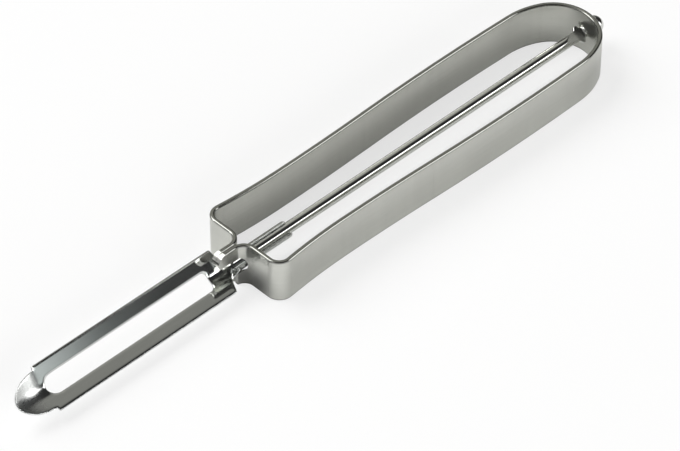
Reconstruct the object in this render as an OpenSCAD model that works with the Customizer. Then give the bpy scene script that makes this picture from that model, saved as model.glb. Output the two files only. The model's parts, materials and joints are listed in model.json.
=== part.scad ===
// Swivel vegetable peeler: a loop handle bent from one steel strip, a pressed channel blade with a
// coring tip, and a wire spindle that is crimped in the blade's tang and turns in the handle.
// X runs along the spindle with the handle's round end at +X, Z is up, lengths are in millimetres.

/* [Strip] */
// Height of the strip, which stands on its edge
strip_h = 10.5; // [8:0.5:16]
// Thickness of the strip
strip_t = 1.0; // [0.8:0.1:1.4]
// Rounding of the strip's long edges
strip_edge_r = 0.3; // [0.1:0.05:0.35]
// Gap left between the strip's two ends where they lie together
ends_gap = 0.1; // [0.05:0.05:0.3]

/* [Handle bends] */
// Mean radius at the very end of the round end
end_r = 9.6; // [8:0.2:12]
// Turn of the strip at the very end, from the middle to one side
end_turn = 62; // [50:1:70]
// Mean radius where the round end runs out into the side
haunch_r = 17; // [12:0.5:24]
// Radius of the long outward bow of each side
crown_r = 680; // [400:10:1000]
// Turn of the outward bow
crown_turn = 3.7; // [2:0.1:6]
// Heading of the side where the outward bow starts, short of straight ahead
crown_lead_turn = 1.4; // [0.5:0.1:2.5]
// Radius of the hollow of each side
waist_r = 620; // [400:10:1000]
// Radius of the flare behind the front corner
flare_r = 150; // [80:5:300]
// Turn of the flare
flare_turn = 6; // [2:0.5:9]
// Mean radius of the front corner
shoulder_r = 2.6; // [1.5:0.1:5]
// Mean radius of the bend from the front wall into the tongue
throat_r = 2.8; // [1.8:0.1:4]
// Length of the straight tongue in front of that bend
tongue_l = 4.6; // [3:0.1:8]
// Rounding of the tongue's upper front corner
tongue_corner_r = 2.2; // [1:0.1:2.4]
// Rounding of the tongue's lower front corner
tongue_heel_r = 0.9; // [0.4:0.1:1]

/* [Spindle] */
// Diameter of the wire
wire_d = 2.5; // [2:0.1:4]
// Radial running clearance in the rear hole
bore_clear = 0.07; // [0.03:0.01:0.1]
// Diameter of the ball head behind the handle
ball_d = 4.3; // [3.5:0.1:7]
// Axial play at the ball head and at the ears
end_play = 0.15; // [0.1:0.05:0.4]
// Width across the two pinched ears
ear_w = 4.2; // [3.2:0.1:6]
// Length of the ears along the wire
ear_l = 2.3; // [1.5:0.1:3]
// Thickness of the ears
ear_t = 0.9; // [0.6:0.05:1.4]
// Length over which the wire is pinched flat in front of the ears
pinch_l = 3.2; // [2:0.1:6]
// Length of wire held in the blade's tang
crimp_l = 9.7; // [5:0.1:12]

/* [Blade] */
// Thickness of the blade's sheet
sheet_t = 0.6; // [0.4:0.05:0.9]
// Inside radius of the channel's rounded floor
channel_r = 3.4; // [2.6:0.1:4.4]
// Slope of the two flat wings that rise from the floor
wing_slope = 26; // [18:1:34]
// Width over the channel's two edges
blade_w = 10.5; // [9:0.1:11]
// Length of the channel from its front corners to its rear shoulders
channel_l = 46.6; // [35:0.2:65]
// Distance of the rear shoulders in front of the handle's front wall
shoulder_gap = 5.3; // [4.8:0.1:6.5]
// Width of the cutting slot
slot_w = 4.1; // [3:0.1:5]
// Bridge left in front of the cutting slot
slot_front = 1.2; // [0.6:0.1:3]
// Bridge left behind the cutting slot
slot_rear = 2.7; // [1.5:0.1:4]
// Rounding of the cutting slot's rear corners
slot_corner_r = 1.2; // [0.8:0.1:1.4]
// Width of the ground bevel on the cutting slot's edges
grind_w = 0.5; // [0.3:0.1:0.8]
// Reach of the slanted shoulders from the wings' rear corners to the neck
slant_l = 1.4; // [0.6:0.1:2]
// Length of the coring tip in front of the channel
tip_l = 7.0; // [4:0.1:10]
// Half width of the coring tip at its root
tip_root_r = 4.3; // [3:0.1:4.8]
// Radius at which the coring tip's floor curves up
tip_rise_r = 14; // [12:0.5:24]

/* [Tang] */
// Reach of the tang behind the handle's front wall
tang_l = 12.2; // [8:0.1:16]
// Opening of the tang's upper side, as an angle at the wire
tang_open = 96; // [70:2:130]
// Length of the drawn neck between the slanted shoulders and the tang
neck_l = 1.8; // [1.2:0.1:3]
// Radial room round the tang in the front passage
passage_clear = 0.45; // [0.3:0.05:0.8]
// Gap between the crimped tang and the wire
crimp_gap = 0.02; // [0.01:0.01:0.04]

/* [Pose] */
// Turn of the blade about the spindle as it lies, near edge down
rest_tilt = 36; // [0:1:50]

/* [Hidden] */
$fn = 96;

// Fragments for the long bows, whose radius is far larger than the part
bow_fn = 2880;
// Steps of each rounded edge of the strip
edge_steps = 3;
// Fragments of shapes inside a hull
hull_fn = 40;
// Steps of the coring tip's outline, and of each half of the channel's rounded floor
tip_steps = 36;
floor_steps = 8;
// Overrun of every cut past the face that it goes through
over = 1;
// Land left between the slot's ground bevel and its edge
grind_land = 0.08;
// Lap of neighbouring stretches, and how much thinner the lapped one is on each face
lap_l = 0.05;
lap_inset = 0.01;
neck_inset = 0.05;
// Blunting of the ears' pointed ends
ear_blunt = 0.25;

axis_z = strip_h / 2;
wire_r = wire_d / 2;
ball_r = ball_d / 2;

// Turns that close the side: the haunch ends at the bow's lead, the hollow ends straight ahead
haunch_turn = 90 - end_turn - crown_lead_turn;
waist_turn = crown_turn - crown_lead_turn;
shoulder_turn = 90 + flare_turn;

// Headings along the side, counted from straight across the rear end
haunch_end = end_turn + haunch_turn;
crown_end = haunch_end + crown_turn;
flare_end = 90 - flare_turn;

// Reach of a bend of mean radius r between two headings, across and along the handle
function across(r, a0, a1) = r * (sin(a1) - sin(a0));
function along(r, a0, a1) = r * (cos(a0) - cos(a1));

side_y = across(end_r, 0, end_turn) + across(haunch_r, end_turn, haunch_end)
    + across(crown_r, haunch_end, crown_end) + across(-waist_r, crown_end, 90)
    + across(-flare_r, 90, flare_end);
side_l = along(end_r, 0, end_turn) + along(haunch_r, end_turn, haunch_end)
    + along(crown_r, haunch_end, crown_end) + along(-waist_r, crown_end, 90)
    + along(-flare_r, 90, flare_end) + along(shoulder_r, flare_end, 180);

// Straight run of the front wall, so that the strip's end lies beside the middle
tongue_y = (strip_t + ends_gap) / 2;
front_run = side_y + across(shoulder_r, flare_end, 180) - throat_r - tongue_y;

// Places along the handle, counted from the middle of the front wall
wall_front_x = -strip_t / 2;
rear_x = side_l;
rear_in_x = rear_x - strip_t / 2;
rear_out_x = rear_x + strip_t / 2;
tongue_x = -throat_r - tongue_l;
tongue_w = 2 * strip_t + ends_gap;
blade_rear_x = wall_front_x - shoulder_gap;
blade_front_x = blade_rear_x - channel_l;
tip_x = blade_front_x - tip_l;
tang_x = tang_l;
wire_x = tang_x - crimp_l;
ball_x = rear_out_x + end_play + ball_r;
ball_end_x = ball_x + ball_r;

// The ears are a lens in plan, whose rear bow stays clear of the round end by the play
ear_x = rear_in_x - end_play;
ear_tip_y = ear_w / 2 + ear_blunt;
ear_bow_r = (pow(ear_tip_y, 2) + pow(ear_l / 2, 2)) / ear_l;

// The channel's floor lies under the wire, so that blade and tang are one pressed piece
channel_z = channel_r - wire_r;
channel_out_r = channel_r + sheet_t;
wing_l = (blade_w / 2 - channel_out_r * sin(wing_slope)) / cos(wing_slope);
tang_in_r = wire_r + crimp_gap;
tang_out_r = tang_in_r + sheet_t;
passage_r = tang_out_r + passage_clear;
tongue_low_z = axis_z + sqrt(pow(passage_r, 2) - pow(tongue_w / 2, 2));
slot_front_x = blade_front_x + slot_front;
slot_rear_x = blade_rear_x - slot_rear;
shoulder_x = blade_rear_x + slant_l;
neck_x = shoulder_x + neck_l;
neck_w = 2 * (tang_out_r + sheet_t);
neck_z = wing_z(channel_r, neck_w / 2);

// Rounded floor of the channel at radius r, as points from one side to the other
function floor_bow(r, side) = [
    for (k = [-floor_steps : floor_steps])
        let (a = side * wing_slope * k / floor_steps)
        [r * sin(a), channel_z - r * cos(a)]
];

// Height of a wing's face that leaves the floor at radius r, at y across, and the end of that face
function wing_z(r, y) = channel_z - r * cos(wing_slope) + (y - r * sin(wing_slope)) * tan(wing_slope);
function wing_end_y(r) = r * sin(wing_slope) + wing_l * cos(wing_slope);

// The part's middle along X is its origin
origin_x = (tip_x + ball_end_x) / 2;

// One row for each stretch of a side, from the round end to the strip's end:
// mean radius and turn of a bend, left turns positive, or zero and the length of a straight run
side_bends = [
    [haunch_r, haunch_turn],
    [crown_r, crown_turn],
    [waist_r, -waist_turn],
    [flare_r, -flare_turn],
    [shoulder_r, shoulder_turn],
    [0, front_run],
    [throat_r, -90],
    [0, tongue_l]
];

// Cross-section of the strip, standing on Y = 0 with its middle on the Y axis
module strip_section(inset) {
    corners = [[1, 0], [1, 1], [-1, 1], [-1, 0]];
    round_r = strip_edge_r - inset;
    polygon([
        for (i = [0 : 3]) for (k = [0 : edge_steps])
            let (
                a = -90 + 90 * i + 90 * k / edge_steps,
                cx = corners[i][0] * (strip_t / 2 - strip_edge_r),
                cy = corners[i][1] == 0 ? strip_edge_r : strip_h - strip_edge_r
            )
            [cx + round_r * cos(a), cy + round_r * sin(a)]
    ]);
}

// One bend of the strip, starting at the origin and heading along X; the lap reaches past both ends
module strip_bend(r, turn, inset, lap) {
    side = sign(turn);
    lap_a = lap / r * 180 / PI;
    translate([0, side * r, 0])
        rotate([0, 0, (turn > 0 ? -90 : 90 + turn) - lap_a])
            rotate_extrude(angle = abs(turn) + 2 * lap_a, $fn = r > side_l ? bow_fn : $fn)
                translate([r, 0]) strip_section(inset);
}

// Strip bent through the rows of a bend table, starting at the origin and heading along X.
// Every second stretch is a hair thinner and laps into its neighbours, so that all join soundly.
module bent_strip(bends, i = 0) {
    if (i < len(bends)) {
        r = bends[i][0];
        turn = bends[i][1];
        thin = i % 2 == 0;
        inset = thin ? lap_inset : 0;
        lap = thin ? lap_l : 0;
        if (r == 0) {
            translate([-lap, 0, 0]) rotate([90, 0, 90]) linear_extrude(turn + 2 * lap) strip_section(inset);
            translate([turn, 0, 0]) bent_strip(bends, i + 1);
        } else {
            strip_bend(r, turn, inset, lap);
            translate([r * sin(abs(turn)), sign(turn) * r * (1 - cos(turn)), 0])
                rotate([0, 0, turn]) bent_strip(bends, i + 1);
        }
    }
}

// The whole strip before it is drilled: the round end, then both sides alike
module whole_strip() {
    end_x = rear_x - along(end_r, 0, end_turn);
    end_y = across(end_r, 0, end_turn);
    translate([end_x, -end_y, 0]) rotate([0, 0, 90 - end_turn]) strip_bend(end_r, 2 * end_turn, 0, 0);
    for (m = [0, 1]) mirror([0, m, 0])
        translate([end_x, end_y, 0]) rotate([0, 0, 90 + end_turn]) bent_strip(side_bends);
}

// Cut that lets neck and tang through: round along the tongue and both throats, open below the tongue
module front_passage() {
    translate([tongue_x - over, 0, axis_z])
        rotate([0, 90, 0]) cylinder(h = throat_r + tongue_l + strip_t + 2 * over, r = passage_r);
    translate([tongue_x - over, -tongue_w, -over])
        cube([tongue_l + over + strip_t / 2, 2 * tongue_w, axis_z + over]);
}

// Cut that rounds a front corner of both tongues, the upper one or, with side -1, the lower one
module tongue_corner_cut(z, r, side) {
    translate([tongue_x, 0, z])
        rotate([90, 0, 0])
            linear_extrude(2 * tongue_w, center = true)
                difference() {
                    translate([-over, side > 0 ? -r : -over]) square([r + over, r + over]);
                    translate([r, -side * r]) circle(r);
                }
}

module handle_strip() {
    color([0.72, 0.72, 0.70])
        translate([-origin_x, 0, 0])
            difference() {
                whole_strip();
                translate([rear_in_x - over, 0, axis_z])
                    rotate([0, 90, 0]) cylinder(h = strip_t + 2 * over, r = wire_r + bore_clear);
                front_passage();
                tongue_corner_cut(strip_h, tongue_corner_r, 1);
                tongue_corner_cut(tongue_low_z, tongue_heel_r, -1);
            }
}

// Places its children on the spindle's centre line, turned as the blade lies
module on_spindle() {
    translate([-origin_x, 0, axis_z]) rotate([rest_tilt, 0, 0]) children();
}

// Turns a section drawn in Y and Z so that it is extruded along X
module along_x(x0, x1) {
    translate([x0, 0, 0]) rotate([90, 0, 90]) linear_extrude(x1 - x0) children();
}

// Section of the channel, with Y across and the wire's centre at zero: a rounded floor and two flat
// wings, whose edges are cut square
module channel_section() {
    out_y = wing_end_y(channel_out_r);
    in_y = wing_end_y(channel_r);
    out_z = wing_z(channel_out_r, out_y);
    in_z = wing_z(channel_r, in_y);
    polygon(concat(
        [[-out_y, out_z]], floor_bow(channel_out_r, 1), [[out_y, out_z]],
        [[in_y, in_z]], floor_bow(channel_r, -1), [[-in_y, in_z]]
    ));
}

// Outline of the coring tip in plan, half of an ellipse
module tip_outline() {
    polygon([
        for (i = [0 : tip_steps])
            let (a = 180 * i / tip_steps)
            [blade_front_x - tip_l * sin(a), tip_root_r * cos(a)]
    ]);
}

// Coring tip: the channel's section swept upwards along an arc and trimmed to its outline
module coring_tip() {
    sweep_z = tip_rise_r - wire_r;
    sweep = asin((tip_l + over) / tip_rise_r);
    intersection() {
        translate([blade_front_x, 0, sweep_z])
            rotate([-90, 90, 0])
                rotate_extrude(angle = sweep)
                    translate([sweep_z, 0]) rotate([0, 0, 90]) channel_section();
        translate([0, 0, -tip_rise_r]) linear_extrude(2 * tip_rise_r) tip_outline();
    }
}

// Prism that cuts the long slot, fully round in front and with rounded corners behind
module cutting_slot() {
    front_x = slot_front_x + slot_w / 2;
    corner_x = slot_rear_x - slot_corner_r;
    corner_y = slot_w / 2 - slot_corner_r;
    translate([0, 0, -tip_rise_r]) linear_extrude(2 * tip_rise_r) {
        translate([front_x, 0]) circle(slot_w / 2);
        translate([front_x, -slot_w / 2]) square([corner_x - front_x, slot_w]);
        translate([front_x, -corner_y]) square([slot_rear_x - front_x, 2 * corner_y]);
        for (s = [-1, 1]) translate([corner_x, s * corner_y]) circle(slot_corner_r);
    }
}

// Cuts that grind the slot's two long edges on the blade's hollow side
module slot_grind() {
    edge_y = (slot_w / 2 - channel_out_r * sin(wing_slope)) / cos(wing_slope);
    grind_a = atan(sheet_t / grind_w);
    run = slot_rear_x - slot_corner_r - slot_front_x - slot_w / 2 - 2 * sheet_t;
    for (s = [-1, 1])
        translate([slot_front_x + slot_w / 2 + sheet_t, 0, channel_z])
            rotate([s * wing_slope, 0, 0])
                translate([0, s * edge_y, grind_land - channel_out_r])
                    rotate([s * grind_a, 0, 0])
                        translate([0, -grind_w, 0])
                            cube([run, 2 * grind_w, sheet_t]);
}

// Cuts that slant the channel's two rear shoulders towards the neck
module shoulder_cuts() {
    slant = (blade_w - neck_w) / 2 / slant_l;
    end_x = shoulder_x + over;
    for (m = [0, 1]) mirror([0, m, 0])
        translate([0, 0, -channel_out_r])
            linear_extrude(2 * channel_out_r)
                polygon([
                    [blade_rear_x, blade_w / 2],
                    [end_x, neck_w / 2 - over * slant],
                    [end_x, blade_w / 2 + over],
                    [blade_rear_x, blade_w / 2 + over]
                ]);
}

// Section of the tang: a sleeve round the wire, open at the top
module tang_section() {
    difference() {
        circle(tang_out_r);
        circle(tang_in_r);
        reach = 2 * tang_out_r;
        side_y = reach * sin(tang_open / 2);
        side_z = reach * cos(tang_open / 2);
        polygon([[0, 0], [side_y, side_z], [0, 2 * reach], [-side_y, side_z]]);
    }
}

// The neck's form where it leaves the channel at radius r, filled up to a height
module neck_wide(r, top) {
    side_z = wing_z(r, neck_w / 2);
    along_x(shoulder_x - 3 * lap_l, shoulder_x - 2 * lap_l)
        polygon(concat(
            [[-neck_w / 2, top], [-neck_w / 2, side_z]], floor_bow(r, 1),
            [[neck_w / 2, side_z], [neck_w / 2, top]]
        ));
}

// The neck's form where it joins the tang: a U round the wire, filled up to a height
module neck_narrow(r, top) {
    along_x(neck_x, neck_x + lap_l)
        intersection() {
            union() {
                circle(r, $fn = hull_fn);
                translate([-r, 0]) square([2 * r, top]);
            }
            translate([-r, -r]) square([2 * r, r + top]);
        }
}

// Neck drawn from the channel's floor to the tang, a little thinner than both and lapped into them
module neck() {
    difference() {
        hull() {
            neck_wide(channel_out_r - neck_inset, neck_z);
            neck_narrow(tang_out_r - neck_inset, tang_out_r * cos(tang_open / 2));
        }
        hull() {
            translate([-lap_l, 0, 0]) neck_wide(channel_r + neck_inset, wire_d);
            translate([lap_l, 0, 0]) neck_narrow(tang_in_r + neck_inset, wire_d);
        }
    }
}

module blade() {
    color([0.55, 0.56, 0.56])
        on_spindle() {
            difference() {
                union() {
                    along_x(blade_front_x, shoulder_x) channel_section();
                    coring_tip();
                }
                cutting_slot();
                slot_grind();
                shoulder_cuts();
            }
            neck();
            along_x(neck_x - 2 * lap_l, tang_x) tang_section();
        }
}

// Two cuts that pinch the wire flat towards and between its ears
module pinch_cuts() {
    flat_z = ear_t / 2 - lap_inset;
    ear_front_x = ear_x - ear_l;
    for (m = [0, 1]) mirror([0, 0, m])
        rotate([90, 0, 0])
            linear_extrude(2 * wire_d, center = true)
                polygon([
                    [ear_front_x - pinch_l, wire_r],
                    [ear_front_x, flat_z],
                    [ear_x - lap_l, flat_z],
                    [ear_x - lap_l, wire_r + over],
                    [ear_front_x - pinch_l, wire_r + over]
                ]);
}

// Plate of the two ears, a lens with blunted ends
module ears() {
    translate([0, 0, -ear_t / 2])
        linear_extrude(ear_t)
            intersection() {
                translate([ear_x - ear_l + ear_bow_r, 0]) circle(ear_bow_r);
                translate([ear_x - ear_bow_r, 0]) circle(ear_bow_r);
                translate([ear_x - 2 * ear_l, -ear_w / 2]) square([4 * ear_l, ear_w]);
            }
}

module spindle() {
    color([0.80, 0.80, 0.80])
        on_spindle() {
            difference() {
                translate([wire_x, 0, 0]) rotate([0, 90, 0]) cylinder(h = ball_x - wire_x, r = wire_r);
                pinch_cuts();
            }
            ears();
            translate([ball_x, 0, 0]) sphere(ball_r);
        }
}

handle_strip();
blade();
spindle();
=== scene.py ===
"""Looks of a swivel vegetable peeler: satin strip handle, drawn wire spindle, polished blade."""

import json
import logging
import math
from dataclasses import dataclass, field
from enum import Enum

import bpy
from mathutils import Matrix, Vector

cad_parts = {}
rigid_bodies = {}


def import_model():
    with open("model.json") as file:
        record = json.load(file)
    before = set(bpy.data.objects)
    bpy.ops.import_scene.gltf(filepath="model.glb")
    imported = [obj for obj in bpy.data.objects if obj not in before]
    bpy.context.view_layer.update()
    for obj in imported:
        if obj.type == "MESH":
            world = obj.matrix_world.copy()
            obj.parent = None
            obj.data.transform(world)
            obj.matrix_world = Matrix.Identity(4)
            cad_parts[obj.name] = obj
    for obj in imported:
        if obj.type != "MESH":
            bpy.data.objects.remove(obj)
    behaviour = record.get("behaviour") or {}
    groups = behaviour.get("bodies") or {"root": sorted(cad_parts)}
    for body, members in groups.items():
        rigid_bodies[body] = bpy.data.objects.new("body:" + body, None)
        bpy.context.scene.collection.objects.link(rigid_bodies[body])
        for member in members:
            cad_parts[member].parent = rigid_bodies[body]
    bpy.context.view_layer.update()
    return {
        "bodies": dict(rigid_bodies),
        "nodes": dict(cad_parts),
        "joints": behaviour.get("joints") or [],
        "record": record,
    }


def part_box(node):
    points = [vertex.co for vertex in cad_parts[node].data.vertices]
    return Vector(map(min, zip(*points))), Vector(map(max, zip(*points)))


LOG = logging.getLogger("peeler")

MM_PER_M = 1000

Colour = tuple[float, float, float]
Point = tuple[float, float, float]


class Grain(Enum):
    """Direction in which a sheet or wire was rolled or drawn."""

    ALONG_STRIP = "along_strip"
    ALONG_BLADE = "along_blade"


LINE_STRETCH: dict[Grain, Point] = {
    Grain.ALONG_STRIP: (60.0, 60.0, 5200.0),
    Grain.ALONG_BLADE: (90.0, 3800.0, 3800.0),
}
STREAK_STRETCH: dict[Grain, Point] = {
    Grain.ALONG_STRIP: (620.0, 620.0, 22.0),
    Grain.ALONG_BLADE: (160.0, 620.0, 620.0),
}


@dataclass(frozen=True)
class Steel:
    """One steel finish: colour, gloss and how much grain, streaks and specks it shows."""

    name: str
    colour: Colour
    roughness: float
    grain: Grain
    grain_depth: float
    grain_contrast: float
    streak_contrast: float
    speck_contrast: float


SATIN_STRIP = Steel(
    name="satin_strip",
    colour=(0.60, 0.605, 0.565),
    roughness=0.24,
    grain=Grain.ALONG_STRIP,
    grain_depth=0.14,
    grain_contrast=0.20,
    streak_contrast=0.08,
    speck_contrast=0.05,
)
PRESSED_BLADE = Steel(
    name="pressed_blade",
    colour=(0.60, 0.61, 0.60),
    roughness=0.075,
    grain=Grain.ALONG_BLADE,
    grain_depth=0.04,
    grain_contrast=0.10,
    streak_contrast=0.10,
    speck_contrast=0.03,
)
DRAWN_WIRE = Steel(
    name="drawn_wire",
    colour=(0.64, 0.645, 0.62),
    roughness=0.06,
    grain=Grain.ALONG_BLADE,
    grain_depth=0.03,
    grain_contrast=0.06,
    streak_contrast=0.04,
    speck_contrast=0.02,
)


class NodeSheet:
    """Small helper that adds nodes to a tree and wires them up."""

    def __init__(self, tree: bpy.types.NodeTree) -> None:
        """Keeps the tree.

        Args:
            tree: node tree that the nodes go into.
        """
        self.tree = tree

    def add(self, kind: str, **values: object) -> bpy.types.Node:
        """Adds a node and sets its properties.

        Args:
            kind: Blender's name of the node type.
            values: properties of the node.

        Returns:
            The new node.
        """
        node = self.tree.nodes.new(kind)
        for key, value in values.items():
            setattr(node, key, value)
        return node

    def link(self, source: bpy.types.NodeSocket, target: bpy.types.NodeSocket) -> None:
        """Links one socket to another."""
        self.tree.links.new(source, target)

    def feed(self, target: bpy.types.NodeSocket, value: object) -> None:
        """Feeds an input.

        Args:
            target: the input.
            value: a socket to link, or the plain value that the input gets.
        """
        if isinstance(value, bpy.types.NodeSocket):
            self.link(value, target)
        else:
            target.default_value = value

    def math(
        self, operation: str, first: object, second: object, clamp: bool = False
    ) -> bpy.types.NodeSocket:
        """Adds a math node.

        Args:
            operation: Blender's name of the operation.
            first: socket or number for the first input.
            second: socket or number for the second input.
            clamp: whether the result is kept between zero and one.

        Returns:
            The result's socket.
        """
        node = self.add("ShaderNodeMath", operation=operation, use_clamp=clamp)
        self.feed(node.inputs[0], first)
        self.feed(node.inputs[1], second)
        return node.outputs[0]

    def vector(self, operation: str, first: object, second: object) -> bpy.types.Node:
        """Adds a vector math node.

        Args:
            operation: Blender's name of the operation.
            first: socket or vector for the first input.
            second: socket or vector for the second input.

        Returns:
            The node, because operations differ in which output holds the result.
        """
        node = self.add("ShaderNodeVectorMath", operation=operation)
        self.feed(node.inputs[0], first)
        self.feed(node.inputs[1], second)
        return node

    def noise(
        self, place: bpy.types.NodeSocket, scale: float, detail: float, roughness: float = 0.5
    ) -> bpy.types.NodeSocket:
        """Adds a noise texture.

        Args:
            place: socket with the coordinates.
            scale: how fine the noise is.
            detail: how many finer layers it has.
            roughness: how strong those layers are.

        Returns:
            Socket with the noise, around one half.
        """
        node = self.add("ShaderNodeTexNoise")
        self.link(place, node.inputs["Vector"])
        node.inputs["Scale"].default_value = scale
        node.inputs["Detail"].default_value = detail
        node.inputs["Roughness"].default_value = roughness
        return node.outputs["Fac"]

    def slope(
        self,
        value: bpy.types.NodeSocket,
        span: tuple[float, float],
        levels: tuple[float, float],
    ) -> bpy.types.NodeSocket:
        """Adds a smooth change from one level to another.

        Args:
            value: socket that decides how far the change has come.
            span: values at which the change starts and ends.
            levels: results at the start and at the end.

        Returns:
            The result's socket.
        """
        node = self.add("ShaderNodeMapRange", interpolation_type="SMOOTHSTEP")
        self.link(value, node.inputs["Value"])
        node.inputs["From Min"].default_value, node.inputs["From Max"].default_value = span
        node.inputs["To Min"].default_value, node.inputs["To Max"].default_value = levels
        return node.outputs["Result"]

    def mix_shaders(
        self,
        share: bpy.types.NodeSocket,
        first: bpy.types.Node,
        second: bpy.types.Node,
    ) -> bpy.types.Node:
        """Adds a mix of two shaders.

        Args:
            share: socket with the second shader's share.
            first: node of the first shader.
            second: node of the second shader.

        Returns:
            The mix.
        """
        node = self.add("ShaderNodeMixShader")
        self.link(share, node.inputs[0])
        self.link(first.outputs[0], node.inputs[1])
        self.link(second.outputs[0], node.inputs[2])
        return node

    def object_place(self) -> bpy.types.NodeSocket:
        """Adds the object's own coordinates."""
        return self.add("ShaderNodeTexCoord").outputs["Object"]

    def object_axes(self) -> bpy.types.Node:
        """Adds the object's own coordinates, split into X, Y and Z."""
        node = self.add("ShaderNodeSeparateXYZ")
        self.link(self.object_place(), node.inputs[0])
        return node


def empty_sheet(owner: bpy.types.Material | bpy.types.World) -> NodeSheet:
    """Empties the nodes of a material or world.

    Args:
        owner: material or world whose nodes are made anew.

    Returns:
        Sheet on the empty node tree.
    """
    owner.use_nodes = True
    owner.node_tree.nodes.clear()
    return NodeSheet(owner.node_tree)


@dataclass(frozen=True)
class GrainGroup:
    """Shared node group: fine drawn lines, soft clouds, streaks and specks on bare steel."""

    name: str = "steel_grain"
    line_detail: float = 3.0
    line_roughness: float = 0.6
    cloud_scale: float = 55.0
    cloud_detail: float = 2.0
    cloud_share: float = 0.7
    streak_detail: float = 2.0
    speck_scale: float = 1400.0
    speck_detail: float = 1.0
    speck_level: float = 0.72
    gloss_share: float = 0.35
    middle: float = 0.5

    def build(self) -> bpy.types.NodeTree:
        """Makes the group once.

        Returns:
            The node group, with two stretches and three strengths in, and Tone, Gloss and
            Height out.
        """
        found = bpy.data.node_groups.get(self.name)
        if found:
            return found
        group = bpy.data.node_groups.new(self.name, "ShaderNodeTree")
        for kind, side, names in (
            ("NodeSocketVector", "INPUT", ("Stretch", "Streak Stretch")),
            ("NodeSocketFloat", "INPUT", ("Contrast", "Streaks", "Specks")),
            ("NodeSocketFloat", "OUTPUT", ("Tone", "Gloss", "Height")),
        ):
            for name in names:
                group.interface.new_socket(name=name, in_out=side, socket_type=kind)
        sheet = NodeSheet(group)
        inputs = sheet.add("NodeGroupInput").outputs
        outputs = sheet.add("NodeGroupOutput").inputs
        place = sheet.object_place()
        along = sheet.vector("MULTIPLY", place, inputs["Stretch"]).outputs[0]
        drawn = sheet.vector("MULTIPLY", place, inputs["Streak Stretch"]).outputs[0]
        lines = sheet.noise(along, 1.0, self.line_detail, self.line_roughness)
        clouds = sheet.noise(place, self.cloud_scale, self.cloud_detail)
        streaks = sheet.noise(drawn, 1.0, self.streak_detail)
        specks = sheet.noise(place, self.speck_scale, self.speck_detail)

        line_part = sheet.math("SUBTRACT", lines, self.middle)
        cloud_part = sheet.math("SUBTRACT", clouds, self.middle)
        grain = sheet.math(
            "ADD", line_part, sheet.math("MULTIPLY", cloud_part, self.cloud_share)
        )
        streak_part = sheet.math(
            "MULTIPLY", sheet.math("SUBTRACT", streaks, self.middle), inputs["Streaks"]
        )
        toned = sheet.math(
            "ADD", sheet.math("MULTIPLY", grain, inputs["Contrast"]), streak_part
        )
        spots = sheet.math(
            "MULTIPLY", sheet.math("GREATER_THAN", specks, self.speck_level), inputs["Specks"]
        )
        tone = sheet.math("SUBTRACT", sheet.math("ADD", toned, 1.0), spots)
        gloss = sheet.math("ADD", sheet.math("MULTIPLY", grain, self.gloss_share), 1.0)
        sheet.link(tone, outputs["Tone"])
        sheet.link(gloss, outputs["Gloss"])
        sheet.link(lines, outputs["Height"])
        return group


@dataclass
class SteelPaint:
    """Turns a finish into a material that is alike all over its piece."""

    finish: Steel
    grain_height: float = 0.00002

    def vary(
        self, sheet: NodeSheet, tone: bpy.types.NodeSocket, rough: bpy.types.NodeSocket
    ) -> tuple[bpy.types.NodeSocket, bpy.types.NodeSocket]:
        """Changes tone and roughness by place, which a plain piece doesn't need.

        Args:
            sheet: node sheet of the material.
            tone: socket with the tone.
            rough: socket with the roughness.

        Returns:
            Sockets with the tone and the roughness to use.
        """
        return tone, rough

    def build(self) -> bpy.types.Material:
        """Makes the material.

        Returns:
            The finished material.
        """
        finish = self.finish
        material = bpy.data.materials.new(finish.name)
        sheet = empty_sheet(material)
        output = sheet.add("ShaderNodeOutputMaterial")
        metal = sheet.add("ShaderNodeBsdfPrincipled")
        sheet.link(metal.outputs[0], output.inputs["Surface"])
        metal.inputs["Metallic"].default_value = 1.0

        grain = sheet.add("ShaderNodeGroup", node_tree=GrainGroup().build())
        grain.inputs["Stretch"].default_value = LINE_STRETCH[finish.grain]
        grain.inputs["Streak Stretch"].default_value = STREAK_STRETCH[finish.grain]
        grain.inputs["Contrast"].default_value = finish.grain_contrast
        grain.inputs["Streaks"].default_value = finish.streak_contrast
        grain.inputs["Specks"].default_value = finish.speck_contrast
        rough = sheet.math("MULTIPLY", grain.outputs["Gloss"], finish.roughness)
        tone, rough = self.vary(sheet, grain.outputs["Tone"], rough)

        tint = sheet.add("ShaderNodeMix", data_type="RGBA", blend_type="MULTIPLY")
        tint.inputs["Factor"].default_value = 1.0
        tint.inputs["A"].default_value = (*finish.colour, 1.0)
        sheet.link(tone, tint.inputs["B"])
        sheet.link(tint.outputs["Result"], metal.inputs["Base Color"])
        sheet.link(rough, metal.inputs["Roughness"])

        bump = sheet.add("ShaderNodeBump")
        bump.inputs["Strength"].default_value = finish.grain_depth
        bump.inputs["Distance"].default_value = self.grain_height
        sheet.link(grain.outputs["Height"], bump.inputs["Height"])
        sheet.link(bump.outputs["Normal"], metal.inputs["Normal"])
        return material


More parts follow.
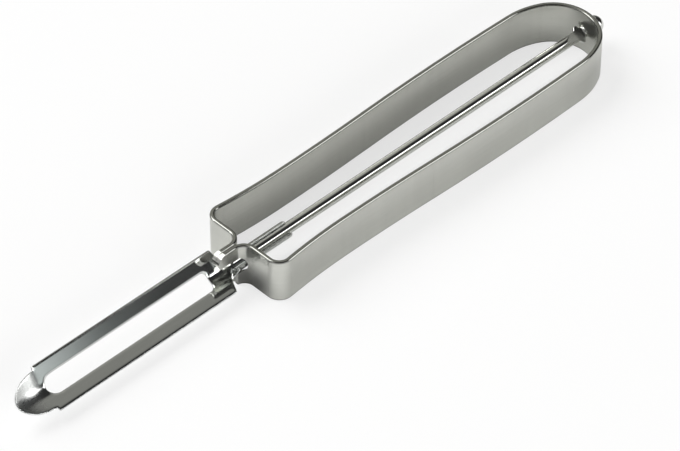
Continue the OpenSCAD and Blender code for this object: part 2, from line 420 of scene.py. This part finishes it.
@dataclass
class StripPaint(SteelPaint):
    """Paint of the strip: glossier rims with painted shade, and painted shade in the near throat.
    """

    rim_low: float = 0.0
    rim_high: float = 1.0
    rim_gloss: float = 0.7
    # Tone of the painted shade on the rims.
    rim_shade_tone: float = 0.5
    # Point and fall-off of the painted shade in the near throat behind the tongue.
    throat: Point = (-0.0245, -0.0035, 0.0015)
    shade_near: float = 0.0013
    shade_far: float = 0.0082
    shade_depth: float = 0.78

    def rim(self, sheet: NodeSheet) -> bpy.types.NodeSocket:
        """Marks both rims.

        Args:
            sheet: node sheet of the material.

        Returns:
            Socket that is one on the rims and zero between them.
        """
        height = sheet.object_axes().outputs["Z"]
        low = sheet.math("LESS_THAN", height, self.rim_low)
        high = sheet.math("GREATER_THAN", height, self.rim_high)
        return sheet.math("ADD", low, high, clamp=True)

    def painted_throat_shade(self, sheet: NodeSheet) -> bpy.types.NodeSocket:
        """Adds the painted shade in the near throat behind the tongue.

        Args:
            sheet: node sheet of the material.

        Returns:
            Socket that is one away from the throat and lower towards it, where shade is painted.
        """
        # Painted shade: the tone darkens towards the throat point behind the tongue.
        away = sheet.vector("DISTANCE", sheet.object_place(), self.throat).outputs["Value"]
        return sheet.slope(
            away, (self.shade_near, self.shade_far), (1.0 - self.shade_depth, 1.0)
        )

    def vary(
        self, sheet: NodeSheet, tone: bpy.types.NodeSocket, rough: bpy.types.NodeSocket
    ) -> tuple[bpy.types.NodeSocket, bpy.types.NodeSocket]:
        """Paints shade on the rims and polishes them, and paints shade in the near throat.

        Args:
            sheet: node sheet of the material.
            tone: socket with the tone.
            rough: socket with the roughness.

        Returns:
            Sockets with the new tone and roughness.
        """
        rim = self.rim(sheet)
        polish = sheet.math("SUBTRACT", 1.0, sheet.math("MULTIPLY", rim, 1.0 - self.rim_gloss))
        # Painted shade: a darker tone on both rims.
        shade = sheet.math("SUBTRACT", 1.0, sheet.math("MULTIPLY", rim, 1.0 - self.rim_shade_tone))
        rough = sheet.math("MULTIPLY", rough, polish)
        tone = sheet.math("MULTIPLY", sheet.math("MULTIPLY", tone, shade), self.painted_throat_shade(sheet))
        return tone, rough


@dataclass
class BladePaint(SteelPaint):
    """Paint of the blade: the coring tip is duller than the channel."""

    tip_roughening: float = 3.8
    tip_full: float = -0.0775
    tip_start: float = -0.0735

    def vary(
        self, sheet: NodeSheet, tone: bpy.types.NodeSocket, rough: bpy.types.NodeSocket
    ) -> tuple[bpy.types.NodeSocket, bpy.types.NodeSocket]:
        """Roughens the coring tip.

        Args:
            sheet: node sheet of the material.
            tone: socket with the tone.
            rough: socket with the roughness.

        Returns:
            Sockets with the same tone and the new roughness.
        """
        along = sheet.object_axes().outputs["X"]
        gain = sheet.slope(along, (self.tip_full, self.tip_start), (self.tip_roughening, 1.0))
        return tone, sheet.math("MULTIPLY", rough, gain)


@dataclass
class Piece:
    """One solid of the part and the finish that it gets."""

    node: str
    finish: Steel

    def paint(self) -> SteelPaint:
        """Gives the paint of the piece."""
        return SteelPaint(self.finish)

    def dress(self, frame: dict) -> None:
        """Puts the piece's material on every slot of its solid.
        """
        solid = frame["nodes"][self.node]
        material = self.paint().build()
        if not solid.material_slots:
            solid.data.materials.append(material)
        for slot in solid.material_slots:
            slot.material = material
        LOG.info("dressed %s", self.node)


@dataclass
class StripHandle(Piece):
    """The loop handle, which keeps the solid's surface."""

    node: str = "handle_strip"
    finish: Steel = SATIN_STRIP
    rim_width: float = 0.0004

    def paint(self) -> StripPaint:
        """Gives the strip's paint, with rims at its upper and lower edge."""
        low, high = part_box(self.node)
        return StripPaint(
            self.finish, rim_low=low.z + self.rim_width, rim_high=high.z - self.rim_width
        )


@dataclass
class SmoothPiece(Piece):
    """A piece with the flowing surface and soft edges of pressed steel.

    The grid is the width of the new surface's squares in metres, and evening is how far each
    round moves a point towards its neighbours.
    """

    grid: float = 0.00016
    evening: float = 0.5
    rounds: int = 16

    def dress(self, frame: dict) -> None:
        """Puts the material on the solid and smooths its surface.
        """
        super().dress(frame)
        solid = frame["nodes"][self.node]
        squares = solid.modifiers.new("fine_squares", "REMESH")
        squares.mode = "VOXEL"
        squares.voxel_size = self.grid
        squares.use_smooth_shade = True
        even = solid.modifiers.new("evened_out", "SMOOTH")
        even.factor = self.evening
        even.iterations = self.rounds


@dataclass
class SwivelBlade(SmoothPiece):
    """The pressed blade with its coring tip and tang."""

    node: str = "blade"
    finish: Steel = PRESSED_BLADE

    def paint(self) -> BladePaint:
        """Gives the blade's paint, with its duller coring tip."""
        return BladePaint(self.finish)


@dataclass
class WireSpindle(SmoothPiece):
    """The wire with its ball head and ears."""

    node: str = "spindle"
    finish: Steel = DRAWN_WIRE
    rounds: int = 20


@dataclass(frozen=True)
class SoftBox:
    """One rectangular lamp that faces the object."""

    name: str
    place: Point
    width: float
    height: float
    power: float

    def build(self) -> None:
        """Makes the lamp."""
        data = bpy.data.lights.new(self.name, "AREA")
        data.shape = "RECTANGLE"
        data.size = self.width
        data.size_y = self.height
        data.energy = self.power
        lamp = bpy.data.objects.new(self.name, data)
        lamp.location = self.place
        lamp.rotation_euler = (-Vector(self.place)).to_track_quat("-Z", "Y").to_euler()
        bpy.context.scene.collection.objects.link(lamp)


@dataclass(frozen=True)
class RoomPatch:
    """One soft patch of the room that the steel mirrors.

    Heading and rise are where its middle lies, inner and outer how far from the middle it
    starts to fade and has faded, all in degrees.
    """

    name: str
    heading: float
    rise: float
    inner: float
    outer: float
    level: float
    tint: Colour = (1.0, 1.0, 1.0)

    def aim(self) -> Point:
        """Gives the direction of the patch's middle."""
        heading, rise = math.radians(self.heading), math.radians(self.rise)
        return (
            math.cos(rise) * math.cos(heading),
            math.cos(rise) * math.sin(heading),
            math.sin(rise),
        )

    def add_to(self, sheet: NodeSheet, way: bpy.types.NodeSocket) -> bpy.types.NodeSocket:
        """Adds the patch's nodes.

        Args:
            sheet: node sheet of the world.
            way: socket with the direction that is looked in.

        Returns:
            Socket with the patch's light in that direction.
        """
        near = sheet.vector("DOT_PRODUCT", way, self.aim()).outputs["Value"]
        edge = (math.cos(math.radians(self.outer)), math.cos(math.radians(self.inner)))
        glow = sheet.add("ShaderNodeVectorMath", operation="SCALE")
        glow.inputs[0].default_value = self.tint
        sheet.link(sheet.slope(near, edge, (0.0, self.level)), glow.inputs["Scale"])
        return glow.outputs[0]


@dataclass
class Table:
    """White table top, which keeps the object's shadow and is clear from below."""

    size: float = 3.0
    gap: float = 0.00002
    colour: Colour = (0.94, 0.94, 0.94)
    roughness: float = 0.9
    seen_glow: float = 0.69
    mirrored_glow: float = 0.18

    def build(self) -> None:
        """Makes the table top."""
        half, low = self.size / 2, -self.gap
        corners = [(-half, -half, low), (half, -half, low), (half, half, low), (-half, half, low)]
        mesh = bpy.data.meshes.new("table_top")
        mesh.from_pydata(corners, [], [(0, 1, 2, 3)])
        mesh.materials.append(self.paint())
        table = bpy.data.objects.new("table_top", mesh)
        bpy.context.scene.collection.objects.link(table)

    def paint(self) -> bpy.types.Material:
        """Makes the table's material.

        Returns:
            White that glows for the camera, glows less in the steel and is clear from below.
        """
        material = bpy.data.materials.new("white_table")
        sheet = empty_sheet(material)
        output = sheet.add("ShaderNodeOutputMaterial")
        matt = sheet.add("ShaderNodeBsdfPrincipled")
        matt.inputs["Base Color"].default_value = (*self.colour, 1.0)
        matt.inputs["Roughness"].default_value = self.roughness
        matt.inputs["Specular IOR Level"].default_value = 0.0
        glow = sheet.add("ShaderNodeEmission")
        glow.inputs["Strength"].default_value = 1.0
        path = sheet.add("ShaderNodeLightPath").outputs
        seen = sheet.math("MULTIPLY", path["Is Camera Ray"], self.seen_glow)
        through = sheet.math("MULTIPLY", path["Is Transmission Ray"], self.seen_glow)
        mirrored = sheet.math("MULTIPLY", path["Is Glossy Ray"], self.mirrored_glow)
        share = sheet.math("ADD", sheet.math("ADD", seen, through), mirrored, clamp=True)
        above = sheet.mix_shaders(share, matt, glow)
        side = sheet.add("ShaderNodeNewGeometry")
        clear = sheet.add("ShaderNodeBsdfTransparent")
        both_sides = sheet.mix_shaders(side.outputs["Backfacing"], above, clear)
        sheet.link(both_sides.outputs[0], output.inputs["Surface"])
        return material


@dataclass
class Room:
    """The room that the steel mirrors: dim, with a few soft pale patches, seen as plain white."""

    level: float = 0.015
    mirrored_wall: float = 0.025
    patches: list[RoomPatch] = field(
        default_factory=lambda: [
            RoomPatch("back_wall", 66.0, 40.0, 16.0, 39.5, 0.50, (1.0, 1.0, 0.92)),
            RoomPatch("front_window", -76.0, 5.0, 10.2, 13.05, 1.30, (0.93, 1.0, 0.99)),
            RoomPatch("left_wall", 165.0, 20.0, 12.0, 40.0, 0.50),
        ]
    )

    def build(self) -> None:
        """Makes the world."""
        world = bpy.data.worlds.new("room")
        bpy.context.scene.world = world
        sheet = empty_sheet(world)
        output = sheet.add("ShaderNodeOutputWorld")
        way = sheet.add("ShaderNodeTexCoord").outputs["Generated"]
        light: object = (self.level,) * 3
        for patch in self.patches:
            light = sheet.vector("ADD", light, patch.add_to(sheet, way)).outputs[0]
        dim = sheet.add("ShaderNodeBackground")
        sheet.feed(dim.inputs["Color"], light)
        dim.inputs["Strength"].default_value = 1.0
        white = sheet.add("ShaderNodeBackground")
        white.inputs["Color"].default_value = (1.0, 1.0, 1.0, 1.0)
        white.inputs["Strength"].default_value = 1.0
        path = sheet.add("ShaderNodeLightPath").outputs
        seen = sheet.math("ADD", path["Is Camera Ray"], path["Is Transmission Ray"])
        mirrored = sheet.math("MULTIPLY", path["Is Glossy Ray"], self.mirrored_wall)
        share = sheet.math("ADD", seen, mirrored, clamp=True)
        sheet.link(sheet.mix_shaders(share, dim, white).outputs[0], output.inputs["Surface"])


@dataclass
class Studio:
    """Table, soft lamps and room."""

    table: Table = field(default_factory=Table)
    room: Room = field(default_factory=Room)
    lamps: list[SoftBox] = field(
        default_factory=lambda: [
            SoftBox("key_box", (-0.42, 0.99, 1.12), 1.28, 1.28, 24.0),
            SoftBox("front_fill", (-0.32, -1.36, 0.54), 1.12, 0.72, 15.0),
            SoftBox("side_card", (1.060, -1.198, 0.53), 0.59, 1.04, 7.2),
        ]
    )

    def build(self) -> None:
        """Makes table, lamps and room."""
        self.table.build()
        for lamp in self.lamps:
            lamp.build()
        self.room.build()
        LOG.info("studio ready")


@dataclass
class Camera:
    """The photograph's viewpoint.

    Heading and dip are in degrees, distance is in metres, and scale is how many of the
    picture's pixels a millimetre takes at the target.
    """

    target: Point = (-0.0023, -0.0068, 0.00525)
    heading: float = 45.72
    dip: float = 43.43
    distance: float = 0.752
    scale: float = 4.964
    picture_width: float = 680.0
    sensor: float = 36.0
    clip_end: float = 20.0

    def build(self) -> None:
        """Makes the camera and makes it the scene's own."""
        heading, dip = math.radians(self.heading), math.radians(self.dip)
        look = Vector(
            (
                math.cos(dip) * math.cos(heading),
                math.cos(dip) * math.sin(heading),
                -math.sin(dip),
            )
        )
        data = bpy.data.cameras.new("photo_camera")
        data.sensor_width = self.sensor
        data.lens = self.scale * MM_PER_M * self.distance * self.sensor / self.picture_width
        data.clip_end = self.clip_end
        eye = bpy.data.objects.new("photo_camera", data)
        eye.location = Vector(self.target) - look * self.distance
        eye.rotation_euler = look.to_track_quat("-Z", "Y").to_euler()
        bpy.context.scene.collection.objects.link(eye)
        bpy.context.scene.camera = eye
        LOG.info("camera ready")


def main() -> None:
    """Builds the scene in order."""
    logging.basicConfig(level=logging.INFO)
    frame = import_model()
    scene = bpy.context.scene
    scene.view_settings.view_transform = "Standard"
    Camera().build()
    Studio().build()
    StripHandle().dress(frame)
    SwivelBlade().dress(frame)
    WireSpindle().dress(frame)


if __name__ == "__main__":
    main()
